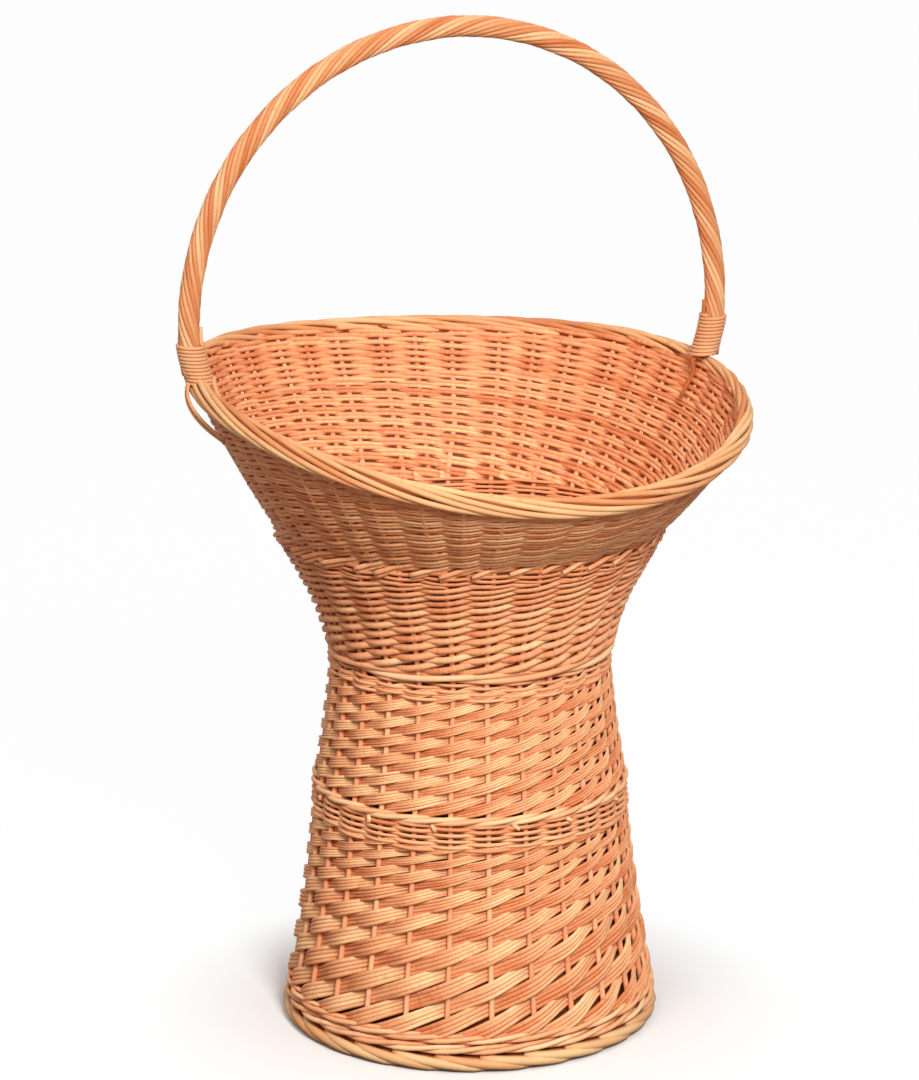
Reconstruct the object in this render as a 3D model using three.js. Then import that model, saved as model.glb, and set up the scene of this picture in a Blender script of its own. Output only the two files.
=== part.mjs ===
// Willow flower basket: a wide tilted bowl on a woven pedestal, with a tall arched handle.
// Millimetres, +Z up. The basket stands on z = 0 with its axis on the origin.
// The handle spans X, and the low lip of the bowl faces -Y.
import * as THREE from 'three';

// Stakes and weave
const stakeCount = 26;
const stakeWidth = 5.5;
const stakeDepth = 5.5;
const stakeClearance = 0.6;
const sidingThickness = 6;
const panelDip = 3.5;
const waleRise = 2.5;
const seatGap = 0.3;

// Pedestal: the heights of its bands from the ground up, and how its siding draws in from the foot
const footBorderHeight = 18;
const footBorderProud = 6.3;
const footBorderWidth = 20;
const footBorderRound = 5;
const footWaleHeight = 20;
const lowerSidingHeight = 196;
const midWaleHeight = 15;
const upperSidingHeight = 127;
const neckWaleHeight = 11;
const footRadius = 182.7;
const midDrawIn = 25.4;
const neckDrawIn = 16.9;
const pedestalWaist = 2.5;

// Bowl: its lower part is round and level, its upper part rises to the tilted rim.
// Each height and each flare is counted from the station under it.
const bowlFootFlare = 3.1;
const bowlBaseHeight = 21;
const bowlBaseFlare = 5.9;
const bowlLowHeight = 22;
const bowlLowFlare = 7.6;
const bowlHighHeight = 30;
const bowlHighFlare = 15.5;
const bowlTopHeight = 30;
const bowlTopFlare = 17;
const endBandHeight = 13;
const endBandFlare = 2.5;
const bowlBelly = 3;
const bowlMiddleShare = 0.5;
const floorThickness = 9;

// Rim: the centre line and the section of its rolled border
const rimHalfWidth = 268;
const rimHalfDepth = 264;
const rimAboveEndBand = 125;
const rimTilt = 36;
const rimLean = 9;
const rimSideLift = 13.5;
const borderHalfWidth = 9.5;
const borderHalfHeight = 10;
const wallUnderBorder = 3;

// Handle: an arch a little behind the axis, a core rod with strands laid round it
const handleOutset = 6;
const handleSpringRise = 77;
const handleRise = 280;
const handleSetBack = 30;
const handleCoreRadius = 6.5;
const strandGap = 0.9;
const strandThickness = 2.9;
const strandCount = 4;
const strandTurns = 4;
const strandSpreadShare = 0.86;

// Binding, peg and tails at the handle's feet
const bindingTubeRadius = 1.9;
const bindingTurnGap = 0.6;
const bindingTurns = 9;
const bindingSideClearance = 1.5;
const pegRadius = 2.5;
const pegClearance = 0.5;
const pegAboveBinding = 16;
const pegBelowRim = 60;
const tailCount = 2;
const tailRadius = 2.2;
const tailNesting = 7;
const tailStartDrop = -5;
const tailTurnDrop = 9;
const tailEndDrop = 40;
const tailPathDegrees = [2, 7, 17];

// Facets
const wallSides = stakeCount;
const borderSides = 2 * stakeCount;
const handleSteps = 48;
const handleSides = 10;
const bindingSteps = 24;
const rodSides = 6;
const pegSteps = 24;
const tailSteps = 14;

const stakeStep = (2 * Math.PI) / stakeCount;

// Levels of the bands, counted up from the ground
const footWaleTop = footBorderHeight + footWaleHeight;
const midWaleLevel = footWaleTop + lowerSidingHeight;
const midWaleTop = midWaleLevel + midWaleHeight;
const neckWaleLevel = midWaleTop + upperSidingHeight;
const neckTop = neckWaleLevel + neckWaleHeight;
const bowlBaseTop = neckTop + bowlBaseHeight;
const bowlLowLevel = bowlBaseTop + bowlLowHeight;
const bowlHighLevel = bowlLowLevel + bowlHighHeight;
const endBandLevel = bowlHighLevel + bowlTopHeight;
const endBandTop = endBandLevel + endBandHeight;
const rimHeight = endBandTop + rimAboveEndBand;

// Outer radii of the siding at those levels
const footBorderRadius = footRadius + footBorderProud;
const midRadius = footRadius - midDrawIn;
const neckRadius = midRadius - neckDrawIn;
const bowlFootRadius = neckRadius + bowlFootFlare;
const bowlBaseRadius = bowlFootRadius + bowlBaseFlare;
const bowlLowRadius = bowlBaseRadius + bowlLowFlare;
const bowlHighRadius = bowlLowRadius + bowlHighFlare;
const endBandLowRadius = bowlHighRadius + bowlTopFlare;
const endBandRadius = endBandLowRadius + endBandFlare;

const handleSpringLevel = rimHeight + handleSpringRise;
const handleHalfSpan = rimHalfWidth + handleOutset;
const handleRadius = handleCoreRadius + strandGap + strandThickness;

// Height of the rim's centre line at an angle round the axis
function rimLevel(angle) {
  return rimHeight + rimTilt * Math.sin(angle) - rimLean * Math.cos(angle)
    + rimSideLift * Math.cos(2 * angle);
}

// Radius of the rim's centre line at an angle
function rimRadius(angle) {
  return 1 / Math.hypot(Math.cos(angle) / rimHalfWidth, Math.sin(angle) / rimHalfDepth);
}

// Radius of the pedestal's siding on the straight line between two of its bands
function pedestalRadius(height) {
  return height < midWaleLevel
    ? THREE.MathUtils.mapLinear(height, footWaleTop, midWaleLevel, footRadius, midRadius)
    : THREE.MathUtils.mapLinear(height, midWaleLevel, neckWaleLevel, midRadius, neckRadius);
}

// A station of the wall: its height and its outer radius at any angle
function roundStation(stationHeight, stationRadius) {
  return { height: () => stationHeight, radius: () => stationRadius };
}

function tiltedStation(share, belly) {
  const { lerp } = THREE.MathUtils;
  return {
    height: (angle) => lerp(endBandTop, rimLevel(angle) - borderHalfHeight, share),
    radius: (angle) => lerp(endBandRadius, rimRadius(angle) + wallUnderBorder, share) + belly,
  };
}

// The wall from the foot border up to the rim border
const lowerMiddle = (footWaleTop + midWaleLevel) / 2;
const upperMiddle = (midWaleTop + neckWaleLevel) / 2;
const wall = {
  footBorderTop: roundStation(footBorderHeight, pedestalRadius(footBorderHeight)),
  footWaleTop: roundStation(footWaleTop, footRadius),
  lowerMiddle: roundStation(lowerMiddle, pedestalRadius(lowerMiddle) - pedestalWaist),
  midWale: roundStation(midWaleLevel, midRadius),
  midWaleTop: roundStation(midWaleTop, pedestalRadius(midWaleTop)),
  upperMiddle: roundStation(upperMiddle, pedestalRadius(upperMiddle) - pedestalWaist),
  neckWale: roundStation(neckWaleLevel, neckRadius),
  neckTop: roundStation(neckTop, bowlFootRadius),
  bowlBaseTop: roundStation(bowlBaseTop, bowlBaseRadius),
  bowlLow: roundStation(bowlLowLevel, bowlLowRadius),
  bowlHigh: roundStation(bowlHighLevel, bowlHighRadius),
  endBand: roundStation(endBandLevel, endBandLowRadius),
  endBandTop: roundStation(endBandTop, endBandRadius),
  bowlMiddle: tiltedStation(bowlMiddleShare, bowlBelly),
  rim: tiltedStation(1, 0),
};
const stations = Object.values(wall);

// Radius of a stake's outer face and of its inner face at a station
function stakeOutside(station, angle) {
  return station.radius(angle) - sidingThickness - stakeClearance;
}

function stakeInside(station, angle) {
  return stakeOutside(station, angle) - stakeDepth;
}

function polar(radius, angle, height) {
  return new THREE.Vector3(radius * Math.cos(angle), radius * Math.sin(angle), height);
}

// Closed surface through sections with the same number of points, joined end to end or capped
function loft(sections, endToEnd) {
  const count = sections[0].length;
  const index = [];
  const spans = endToEnd ? sections.length : sections.length - 1;
  for (let s = 0; s < spans; s += 1) {
    const here = s * count;
    const next = ((s + 1) % sections.length) * count;
    for (let k = 0; k < count; k += 1) {
      const after = (k + 1) % count;
      index.push(here + k, next + k, next + after, here + k, next + after, here + after);
    }
  }
  if (!endToEnd) {
    const last = (sections.length - 1) * count;
    const cap = THREE.ShapeUtils.triangulateShape(flatten(sections[0]), []);
    cap.forEach(([a, b, c]) => index.push(a, b, c, last + a, last + c, last + b));
  }
  const geometry = new THREE.BufferGeometry();
  const positions = sections.flat().flatMap((point) => point.toArray());
  geometry.setAttribute('position', new THREE.Float32BufferAttribute(positions, 3));
  geometry.setIndex(index);
  geometry.computeVertexNormals();
  return geometry;
}

// A section's points in its own plane, in the same order and sense
function flatten(section) {
  const origin = section[0];
  const normal = section.reduce((sum, point, k) => {
    const next = section[(k + 1) % section.length];
    return sum.add(point.clone().sub(origin).cross(next.clone().sub(origin)));
  }, new THREE.Vector3()).normalize();
  const across = section[1].clone().sub(origin).normalize();
  const up = normal.clone().cross(across);
  return section.map((point) => {
    const offset = point.clone().sub(origin);
    return new THREE.Vector2(offset.dot(across), offset.dot(up));
  });
}

// Ring round the axis: outline(angle) gives its section as pairs of radius and height.
// The middles of its facets lie at those radii, and each stake stands at such a middle.
function ring(sides, outline) {
  const step = (2 * Math.PI) / sides;
  const toCorner = 1 / Math.cos(step / 2);
  const firstAngle = (stakeStep - step) / 2;
  const sections = [];
  for (let s = 0; s < sides; s += 1) {
    const angle = firstAngle + s * step;
    const section = outline(angle);
    sections.push(section.map(([radius, height]) => polar(radius * toCorner, angle, height)));
  }
  return loft(sections, true);
}

// Section of the wall through some of its stations, proud of them by a rise
function wallSection(through, angle, rise) {
  const pair = (station, radius) => {
    const drop = station === through.at(-1) ? seatGap : 0;
    return [radius, station.height(angle) - drop];
  };
  const outer = through.map((station) => pair(station, station.radius(angle) + rise));
  const inner = through.map((station) => pair(station, station.radius(angle) - sidingThickness));
  return [...outer, ...inner.reverse()];
}

function wale(...through) {
  return ring(wallSides, (angle) => wallSection(through, angle, waleRise));
}

// Siding: the weave stands out flat across every stake and draws in midway between two stakes
function siding(...through) {
  const halfFacet = stakeStep / 4;
  const toCorner = 1 / Math.cos(halfFacet);
  const sections = [];
  for (let number = 0; number < stakeCount; number += 1) {
    const middle = (number + 0.5) * stakeStep;
    const add = (angle, shape) => {
      const section = wallSection(through, angle, 0);
      sections.push(section.map(([radius, height]) => polar(shape(radius), angle, height)));
    };
    add(middle - halfFacet, (radius) => radius * toCorner);
    add(middle + halfFacet, (radius) => radius * toCorner);
    add(middle + stakeStep / 2, (radius) => radius - panelDip);
  }
  return loft(sections, true);
}

// Rolled foot border, flat where it stands
function footBorder() {
  const inside = footBorderRadius - footBorderWidth;
  const top = footBorderHeight - seatGap;
  return ring(borderSides, () => [
    [footBorderRadius - footBorderRound, 0],
    [footBorderRadius, footBorderRound],
    [footBorderRadius, top - 2 * footBorderRound],
    [footBorderRadius - footBorderRound, top],
    [inside + footBorderRound / 2, top],
    [inside, top - footBorderRound],
    [inside, footBorderRound],
    [inside + footBorderRound / 2, 0],
  ]);
}

// Rolled rim border: an eight-sided section that follows the tilt
function rimBorder() {
  const corners = 8;
  const toCorner = 1 / Math.cos(Math.PI / corners);
  return ring(borderSides, (angle) => {
    const section = [];
    for (let k = 0; k < corners; k += 1) {
      const turn = ((2 * k - 3) * Math.PI) / corners;
      section.push([
        rimRadius(angle) + borderHalfWidth * toCorner * Math.cos(turn),
        rimLevel(angle) + borderHalfHeight * toCorner * Math.sin(turn),
      ]);
    }
    return section;
  });
}

// Upright stake that stands against the inside of the wall from border to border
function stake(number) {
  const angle = (number + 0.5) * stakeStep;
  const radial = polar(1, angle, 0);
  const tangent = polar(1, angle + Math.PI / 2, 0);
  const halfFacet = stakeStep / 4;
  const halfWidth = stakeWidth / 2;
  const sections = stations.map((station) => {
    const before = station.height(angle - halfFacet);
    const after = station.height(angle + halfFacet);
    const facetWidth = 2 * station.radius(angle) * Math.tan(halfFacet);
    const drop = station === wall.rim ? seatGap : 0;
    const corner = (radius, along) => {
      const height = (before + after) / 2 - drop + (along * (after - before)) / facetWidth;
      const point = radial.clone().multiplyScalar(radius).addScaledVector(tangent, along);
      return point.setZ(height);
    };
    const outside = stakeOutside(station, angle);
    const inside = stakeInside(station, angle);
    return [
      corner(outside, halfWidth),
      corner(outside, -halfWidth),
      corner(inside, -halfWidth),
      corner(inside, halfWidth),
    ];
  });
  return loft(sections, false);
}

// Woven floor of the bowl: it reaches the siding and is notched round every stake
function bowlFloor() {
  const edge = wall.neckTop.radius(0) - sidingThickness - stakeClearance;
  const notchEnd = stakeInside(wall.neckTop, 0) - stakeClearance;
  const notchHalfWidth = stakeWidth / 2 + stakeClearance;
  const outline = [];
  for (let number = 0; number < stakeCount; number += 1) {
    const middle = (number + 0.5) * stakeStep;
    [[edge, -1], [notchEnd, -1], [notchEnd, 1], [edge, 1]].forEach(([radius, side]) => {
      const corner = new THREE.Vector2(radius, side * notchHalfWidth);
      outline.push(corner.rotateAround(new THREE.Vector2(), middle));
    });
  }
  const settings = { depth: floorThickness, bevelEnabled: false };
  const disc = new THREE.ExtrudeGeometry(new THREE.Shape(outline), settings);
  disc.translate(0, 0, neckTop);
  return disc;
}

// Closed round rod along a curve
function rod(path, radius, sides, steps) {
  const section = new THREE.Shape().absarc(0, 0, radius, 0, 2 * Math.PI);
  return new THREE.ExtrudeGeometry(section, { steps, curveSegments: sides / 2, extrudePath: path });
}

// One foot of the handle: side is -1 on the left and 1 on the right
function foot(side) {
  const setBackAngle = Math.asin(handleSetBack / rimHalfWidth);
  const angle = side > 0 ? setBackAngle : Math.PI - setBackAngle;
  const borderTop = rimLevel(angle) + borderHalfHeight + seatGap;
  const slope = rimTilt / rimHalfWidth;
  const bindingDepth = handleRadius + bindingSideClearance + 2 * bindingTubeRadius;
  const level = borderTop + handleRadius * slope;
  const bindingLevel = borderTop + bindingDepth * slope + bindingTubeRadius;
  const pitch = 2 * bindingTubeRadius + bindingTurnGap;
  return { side, angle, level, bindingLevel, pitch, bindingTop: bindingLevel + bindingTurns * pitch };
}
const leftFoot = foot(-1);
const rightFoot = foot(1);

// Distance of the handle's leg from the axis plane at a height
function legReach(height) {
  const rise = (height - handleSpringLevel) / handleRise;
  return handleHalfSpan * Math.sqrt(1 - rise * rise);
}

// Centre line of the handle from its left foot to its right one
class HandleArch extends THREE.Curve {
  getPoint(share, target = new THREE.Vector3()) {
    const start = Math.asin((leftFoot.level - handleSpringLevel) / handleRise);
    const end = Math.PI - Math.asin((rightFoot.level - handleSpringLevel) / handleRise);
    const turn = THREE.MathUtils.lerp(start, end, share);
    const height = handleSpringLevel + handleRise * Math.sin(turn);
    return target.set(-handleHalfSpan * Math.cos(turn), handleSetBack, height);
  }
}
const handleArch = new HandleArch();

// Strand laid round the handle's core like a lay of rope
function handleStrand(number) {
  const inside = handleCoreRadius + strandGap;
  const spread = (2 * Math.PI * strandSpreadShare) / strandCount;
  const depthAxis = new THREE.Vector3(0, 1, 0);
  const arcShares = [0, 0.5, 1];
  const sections = [];
  for (let s = 0; s <= handleSteps; s += 1) {
    const share = s / handleSteps;
    const centre = handleArch.getPointAt(share);
    const inward = depthAxis.clone().cross(handleArch.getTangentAt(share)).normalize();
    const start = (2 * Math.PI * number) / strandCount - 2 * Math.PI * strandTurns * share;
    const corner = (radius, spreadShare) => {
      const turn = start + spread * spreadShare;
      return centre.clone()
        .addScaledVector(inward, radius * Math.cos(turn))
        .addScaledVector(depthAxis, radius * Math.sin(turn));
    };
    sections.push([
      ...arcShares.map((spreadShare) => corner(handleRadius, 1 - spreadShare)),
      ...arcShares.map((spreadShare) => corner(inside, spreadShare)),
    ]);
  }
  return loft(sections, false);
}

// Winding that binds a leg of the handle and its peg: an oval helix with straight ends
class BindingPath extends THREE.Curve {
  constructor(at) {
    super();
    this.at = at;
    this.inset = pegRadius + pegClearance;
    this.halfWidth = handleRadius + this.inset + pegClearance + bindingTubeRadius;
    this.halfDepth = handleRadius + bindingSideClearance + bindingTubeRadius;
    this.arcLengthDivisions = 4 * bindingSteps * bindingTurns;
    this.loopLength = Math.PI * (this.halfWidth + this.halfDepth);
  }

  onHelix(turns) {
    const height = this.at.bindingLevel + this.at.pitch * turns;
    const turn = 2 * Math.PI * turns;
    const across = legReach(height) - this.inset + this.halfWidth * Math.cos(turn);
    const depth = handleSetBack + this.halfDepth * Math.sin(turn);
    return new THREE.Vector3(this.at.side * across, depth, height);
  }

  getPoint(share, target = new THREE.Vector3()) {
    const straight = (2 * bindingTubeRadius) / this.loopLength;
    const turns = THREE.MathUtils.lerp(-straight, bindingTurns + straight, share);
    const nearest = THREE.MathUtils.clamp(turns, 0, bindingTurns);
    const point = this.onHelix(nearest);
    if (turns !== nearest) {
      const along = this.onHelix(nearest + straight / 2).sub(this.onHelix(nearest - straight / 2));
      point.addScaledVector(along.normalize(), (turns - nearest) * this.loopLength);
    }
    return target.copy(point);
  }
}

// Least clear distance between one loop of a winding and another, measured on points
function leastGap(path) {
  const count = bindingSteps * bindingTurns;
  const points = path.getSpacedPoints(count);
  let least = Infinity;
  for (let i = 0; i <= count; i += 1) {
    for (let j = i + bindingSteps / 2; j <= count; j += 1) {
      least = Math.min(least, points[i].distanceTo(points[j]));
    }
  }
  return least - 2 * bindingTubeRadius;
}

function binding(at, name) {
  const path = new BindingPath(at);
  console.log(`${name}: least gap to itself ${leastGap(path).toFixed(2)} mm`);
  return rod(path, bindingTubeRadius, rodSides, bindingSteps * bindingTurns);
}

// Radius of the wall's station line at a depth under the rim's centre line
function upperWallRadius(angle, drop, faceRadius) {
  const top = wall.rim.height(angle);
  const middle = wall.bowlMiddle.height(angle);
  const height = rimLevel(angle) - drop;
  return THREE.MathUtils.mapLinear(
    height, middle, top, faceRadius(wall.bowlMiddle, angle), faceRadius(wall.rim, angle),
  );
}

// Curve of straight pieces through points
function straightPieces(points) {
  const path = new THREE.CurvePath();
  for (let k = 1; k < points.length; k += 1) path.add(new THREE.LineCurve3(points[k - 1], points[k]));
  return path;
}

// Peg at a leg's inner side: through the binding, past the border and down inside the wall
function peg(at) {
  const offset = handleRadius + pegClearance + pegRadius;
  const besideLeg = (height) => (
    new THREE.Vector3(at.side * (legReach(height) - offset), handleSetBack, height)
  );
  const besideBorder = rimRadius(at.angle) - borderHalfWidth - pegClearance - pegRadius;
  const onWall = (drop) => {
    const radius = upperWallRadius(at.angle, drop, stakeInside) - pegClearance - pegRadius;
    return polar(Math.min(radius, besideBorder), at.angle, rimLevel(at.angle) - drop);
  };
  const top = at.bindingTop + pegAboveBinding;
  const bottom = at.bindingLevel - bindingTubeRadius;
  const besideLegShares = [0, 0.25, 0.5, 0.75, 1];
  return rod(straightPieces([
    ...besideLegShares.map((share) => besideLeg(THREE.MathUtils.lerp(top, bottom, share))),
    polar(besideBorder, at.angle, rimLevel(at.angle) + borderHalfHeight / 2),
    onWall(borderHalfHeight),
    onWall(pegBelowRim),
  ]), pegRadius, rodSides, pegSteps);
}

// Rod end that loops down outside the border and back to the wall, nested beside the others
function tail(number) {
  const shift = number * tailNesting;
  const outside = rimRadius(leftFoot.angle) + borderHalfWidth + pegClearance + tailRadius;
  const [startTurn, middleTurn, endTurn] = tailPathDegrees.map(
    (degrees) => leftFoot.angle + THREE.MathUtils.degToRad(degrees) - shift / outside,
  );
  const endDrop = tailEndDrop + shift;
  const wallRadius = upperWallRadius(endTurn, endDrop, (station, angle) => station.radius(angle));
  const path = new THREE.CatmullRomCurve3([
    polar(outside, startTurn, rimLevel(startTurn) - tailStartDrop),
    polar(outside, middleTurn, rimLevel(middleTurn) - tailTurnDrop - shift),
    polar(wallRadius + 2 * tailRadius, endTurn, rimLevel(endTurn) - endDrop),
  ]);
  return rod(path, tailRadius, rodSides, tailSteps);
}

// Materials
const willow = (color) => new THREE.MeshStandardMaterial({ color, roughness: 0.55, metalness: 0 });
const sidingWillow = willow(0xcf8a5b);
const waleWillow = willow(0xd9986a);
const stakeWillow = willow(0xc4895f);
const borderWillow = willow(0xe0a468);
const handleWillow = willow(0xd9934f);
const bindingWillow = willow(0xe3ac74);

const basket = new THREE.Group();
function add(name, geometry, material) {
  const mesh = new THREE.Mesh(geometry, material);
  mesh.name = name;
  basket.add(mesh);
}

add('foot_border', footBorder(), borderWillow);
add('foot_wale', wale(wall.footBorderTop, wall.footWaleTop), waleWillow);
add('pedestal_siding_lower', siding(wall.footWaleTop, wall.lowerMiddle, wall.midWale), sidingWillow);
add('pedestal_mid_wale', wale(wall.midWale, wall.midWaleTop), waleWillow);
add('pedestal_siding_upper', siding(wall.midWaleTop, wall.upperMiddle, wall.neckWale), sidingWillow);
add('neck_wale', wale(wall.neckWale, wall.neckTop), waleWillow);
add('bowl_base_wale', wale(wall.neckTop, wall.bowlBaseTop), waleWillow);
add('bowl_floor', bowlFloor(), sidingWillow);
add('bowl_siding_lower', siding(wall.bowlBaseTop, wall.bowlLow, wall.bowlHigh, wall.endBand), sidingWillow);
add('bowl_end_band', wale(wall.endBand, wall.endBandTop), waleWillow);
add('bowl_siding_upper', siding(wall.endBandTop, wall.bowlMiddle, wall.rim), sidingWillow);
add('rim_border', rimBorder(), borderWillow);
for (let number = 0; number < stakeCount; number += 1) {
  add(`stake_${String(number + 1).padStart(2, '0')}`, stake(number), stakeWillow);
}
add('handle_core', rod(handleArch, handleCoreRadius, handleSides, handleSteps), handleWillow);
for (let number = 0; number < strandCount; number += 1) {
  add(`handle_strand_${number + 1}`, handleStrand(number), handleWillow);
}
[[leftFoot, 'left'], [rightFoot, 'right']].forEach(([at, word]) => {
  add(`handle_binding_${word}`, binding(at, `handle_binding_${word}`), bindingWillow);
  add(`handle_peg_${word}`, peg(at), handleWillow);
});
for (let number = 0; number < tailCount; number += 1) {
  add(`handle_tail_${number + 1}`, tail(number), handleWillow);
}

export default basket;
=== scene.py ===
import math
import random

import bmesh
import bpy
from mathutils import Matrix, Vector


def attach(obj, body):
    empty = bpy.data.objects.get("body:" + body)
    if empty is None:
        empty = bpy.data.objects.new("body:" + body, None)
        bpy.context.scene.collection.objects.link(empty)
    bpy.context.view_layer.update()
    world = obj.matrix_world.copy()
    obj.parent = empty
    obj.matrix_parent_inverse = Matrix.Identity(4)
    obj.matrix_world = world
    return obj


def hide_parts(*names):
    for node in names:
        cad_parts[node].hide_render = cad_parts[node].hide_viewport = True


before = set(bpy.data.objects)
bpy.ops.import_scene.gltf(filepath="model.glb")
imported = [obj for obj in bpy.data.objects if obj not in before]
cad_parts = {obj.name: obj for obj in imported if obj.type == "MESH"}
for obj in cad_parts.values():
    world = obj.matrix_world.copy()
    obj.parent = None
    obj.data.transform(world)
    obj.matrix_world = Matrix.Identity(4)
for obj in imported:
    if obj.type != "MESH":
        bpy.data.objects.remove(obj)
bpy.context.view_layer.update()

mm = 0.001
dice = random.Random(20)
scene = bpy.context.scene


# ---- camera, stage and light
cameraSettings = {
    "distance": 3.5,  # level distance from the basket's axis
    "height": 1.38,
    "azimuth": -20.8,  # degrees to the left of straight in front
    "pitchDown": 14.35,
    "lens": 143.9,
    "shiftX": -0.011,
}


def addCamera(s):
    data = bpy.data.cameras.new("camera")
    data.sensor_fit = "HORIZONTAL"
    data.sensor_width = 36
    data.lens = s["lens"]
    data.shift_x = s["shiftX"]
    data.clip_end = 50
    camera = bpy.data.objects.new("camera", data)
    turn = math.radians(s["azimuth"])
    camera.location = (math.sin(turn) * s["distance"], -math.cos(turn) * s["distance"], s["height"])
    camera.rotation_euler = (math.radians(90 - s["pitchDown"]), 0, turn)
    scene.collection.objects.link(camera)
    scene.camera = camera


addCamera(cameraSettings)
scene.view_settings.view_transform = "Standard"
print("camera placed")


class Wire:
    # One socket of a shader tree; arithmetic on it adds Math nodes.
    def __init__(self, shader, socket):
        self.shader = shader
        self.socket = socket

    def calc(self, operation, *values):
        return self.shader.node("Math", {"operation": operation}, dict(enumerate(values)))

    def __add__(self, other):
        return self.calc("ADD", self, other)

    def __radd__(self, other):
        return self.calc("ADD", other, self)

    def __sub__(self, other):
        return self.calc("SUBTRACT", self, other)

    def __rsub__(self, other):
        return self.calc("SUBTRACT", other, self)

    def __mul__(self, other):
        return self.calc("MULTIPLY", self, other)

    def __rmul__(self, other):
        return self.calc("MULTIPLY", other, self)

    def larger(self, other):
        return self.calc("MAXIMUM", self, other)

    def clamped(self):
        return self.shader.node("Clamp", {}, {0: self})

    def over(self, low, high):
        return self.shader.node("MapRange", {"interpolation_type": "SMOOTHSTEP"}, {0: self, 1: low, 2: high})


class Shader:
    # A material's tree, or the world's, and the one method that adds nodes to it
    def __init__(self, name, tree=None, surface="Principled BSDF"):
        if name:
            self.material = bpy.data.materials.new(name)
            self.material.use_nodes = True
            tree = self.material.node_tree
        self.tree = tree
        self.surface = tree.nodes[surface]

    def node(self, kind, settings, sockets, output=0):
        made = self.tree.nodes.new("ShaderNode" + kind)
        for key, value in settings.items():
            setattr(made, key, value)
        self.join(made, sockets)
        return Wire(self, made.outputs[output])

    def join(self, made, sockets):
        for key, value in sockets.items():
            if isinstance(value, Wire):
                self.tree.links.new(value.socket, made.inputs[key])
            else:
                made.inputs[key].default_value = value

    def mixColours(self, share, first, second):
        return self.node("Mix", {"data_type": "RGBA"}, {0: share, 6: first, 7: second}, 2)


def colour(red, green, blue):
    # From screen values of 0 to 255 to the linear values that the nodes use
    def linear(value):
        value /= 255
        return value / 12.92 if value <= 0.04045 else ((value + 0.055) / 1.055) ** 2.4

    return (linear(red), linear(green), linear(blue), 1)


stageSettings = {
    "floorSize": 60,
    "floorDrop": 0.0008,  # it lies this far under the foot
    "floorRoughness": 0.9,
    "floorSeen": (0.93, 0.93, 0.93, 1),  # as the camera sees it
    "floorBounce": (0.2, 0.15, 0.11, 1),  # as it lights the basket from below
    "hollowShade": (0.10, 0.045, 0.03, 1),  # painted shade: the dark floor inside the pedestal, as the camera sees it through the weave
    "hollowShadeInner": 0.14,
    "hollowShadeOuter": 0.165,
    "floorGlow": 0.97,  # share of the open floor that the camera sees as plain white
    "shadeInner": 0.17,  # the floor keeps its whole shadow up to here, in metres from the axis
    "shadeOuter": 0.34,  # and glows in full from here
    "worldLight": 0.36,  # how strongly the white room lights the basket, and its tint
    "worldTint": (1, 0.93, 0.87, 1),
    "lamps": [
        {"name": "keyLight", "place": (-0.3, -2.88, 2.33), "size": 0.8, "power": 118, "tint": (1, 1, 1)},
        {"name": "topLight", "place": (0.3, 0.2, 3.4), "size": 1.4, "power": 3, "tint": (1, 1, 1)},
        {"name": "leftLight", "place": (-2.1, -1.5, 3.5), "size": 1.4, "power": 34, "tint": (1, 0.88, 0.8)},
    ],
    "aim": (0, 0, 0.5),
}


def seenRays(paint):
    # 1 for the camera's own rays, and 1 for all that it sees, by reflection too
    camera, glossy, through = [
        paint.node("LightPath", {}, {}, f"Is {ray} Ray") for ray in ("Camera", "Glossy", "Transmission")]
    return camera, camera.larger(glossy).larger(through)


def addStage(s):
    mesh = bpy.data.meshes.new("floor")
    shape = bmesh.new()
    bmesh.ops.create_grid(shape, x_segments=1, y_segments=1, size=s["floorSize"] / 2)
    bmesh.ops.translate(shape, verts=shape.verts, vec=(0, 0, -s["floorDrop"]))
    shape.to_mesh(mesh)
    shape.free()
    floor = bpy.data.objects.new("floor", mesh)
    scene.collection.objects.link(floor)
    paint = Shader("floorPaint")
    camera, seen = seenRays(paint)
    place = paint.node("TexCoord", {}, {}, "Object")
    distance = paint.node("VectorMath", {"operation": "LENGTH"}, {0: place}, "Value")
    # Painted shade on the floor inside the pedestal, for the camera only
    shown = paint.mixColours(distance.over(s["hollowShadeInner"], s["hollowShadeOuter"]), s["hollowShade"], s["floorSeen"])
    paint.join(paint.surface, {
        "Base Color": paint.mixColours(camera, s["floorBounce"], shown),
        "Roughness": s["floorRoughness"],
    })
    share = seen * s["floorGlow"] * distance.over(s["shadeInner"], s["shadeOuter"])
    glow = paint.node("Emission", {}, {"Color": (1, 1, 1, 1), "Strength": 1.0})
    mixed = paint.node("MixShader", {}, {0: share, 1: Wire(paint, paint.surface.outputs[0]), 2: glow})
    paint.tree.links.new(mixed.socket, paint.tree.nodes["Material Output"].inputs["Surface"])
    mesh.materials.append(paint.material)

    world = bpy.data.worlds.new("studio")
    world.use_nodes = True
    scene.world = world
    sky = Shader(None, world.node_tree, "Background")
    camera, seen = seenRays(sky)
    sky.join(sky.surface, {
        "Color": sky.mixColours(seen, s["worldTint"], (1, 1, 1, 1)),
        "Strength": seen * (1 - s["worldLight"]) + s["worldLight"],
    })

    for lamp in s["lamps"]:
        data = bpy.data.lights.new(lamp["name"], "AREA")
        data.size = lamp["size"]
        data.energy = lamp["power"]
        data.color = lamp["tint"]
        light = bpy.data.objects.new(lamp["name"], data)
        light.location = lamp["place"]
        aim = Vector(s["aim"]) - Vector(lamp["place"])
        light.rotation_euler = aim.to_track_quat("-Z", "Y").to_euler()
        scene.collection.objects.link(light)


addStage(stageSettings)
print("stage and lamps placed")
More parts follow.
